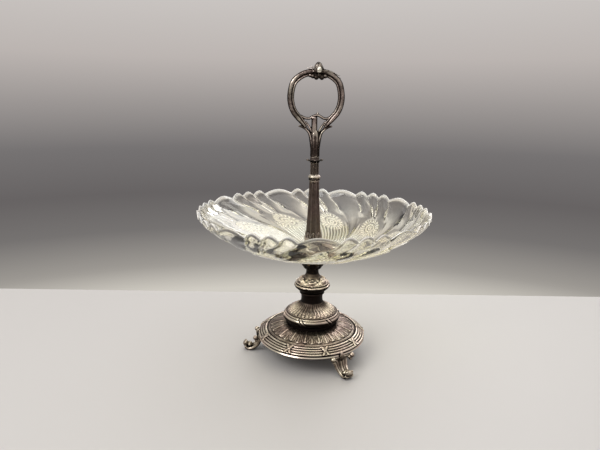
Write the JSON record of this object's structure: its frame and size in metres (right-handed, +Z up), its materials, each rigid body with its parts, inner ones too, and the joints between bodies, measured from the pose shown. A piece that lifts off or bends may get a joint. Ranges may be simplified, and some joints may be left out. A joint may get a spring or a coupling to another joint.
{
  "type": "footed fruit bowl",
  "caption": "Footed fruit bowl: a swirled pressed glass dish on a cast silver-plated stand with scroll feet, a reeded base, and a loop handle on a central column.",
  "frame": {"origin": "on the table under the middle of the stand, where the tie rod's axis meets it", "axes": "+Z up the column; the loop handle lies in the X-Z plane, and +X is to the right when the front, -Y, is faced"},
  "size_m": [0.2191, 0.2194, 0.2789],
  "materials": {
    "plated_silver": "cast and chased, silver-plated, worn bright on the raised parts and dark in the hollows",
    "tarnished_silver": "cast, silver-plated and tarnished dark",
    "clear_glass": "clear pressed glass, fire-polished, pale yellow-green in its thick edges",
    "cork": "natural cork",
    "dull_steel": "dull steel",
    "brass": "turned brass"
  },
  "bodies": {
    "stand": {"base_dome": "plated_silver", "foot_left": "plated_silver", "foot_front": "plated_silver", "foot_rear": "plated_silver", "foot_screw_left": "dull_steel", "foot_screw_front": "dull_steel", "foot_screw_rear": "dull_steel", "base_disc": "dull_steel", "spring_washer": "dull_steel", "base_nut": "dull_steel", "tie_rod": "dull_steel", "seat_nut": "dull_steel", "stem_trumpet": "plated_silver", "knop": "plated_silver", "calyx_neck": "plated_silver", "cup_washer": "cork"},
    "bowl": {"glass_dish": "clear_glass", "hole_sleeve": "cork"},
    "clamp_washer": {"column_washer": "cork"},
    "handle": {"column_foot": "tarnished_silver", "thread_insert": "brass", "column_shaft": "tarnished_silver", "bead_collar": "tarnished_silver", "mid_shaft": "tarnished_silver", "leaf_collar": "tarnished_silver", "loop_handle": "tarnished_silver", "finial": "tarnished_silver"}
  },
  "joints": [
    {"name": "bowl_lift", "type": "slide", "parent": "stand", "child": "bowl", "axis": [0, 0, 1], "range_m": [0, 0.04]},
    {"name": "handle_rise", "type": "slide", "parent": "bowl", "child": "clamp_washer", "axis": [0, 0, 1], "range_m": [0, 0.01]},
    {"name": "handle_turn", "type": "hinge", "parent": "clamp_washer", "child": "handle", "pos_m": [0, 0, 0.1], "axis": [0, 0, 1], "range_deg": [0, 3600]}
  ],
  "couplings": [
    {"joint": "handle_turn", "follows": "handle_rise", "rad_per_m": 6283.2}
  ]
}
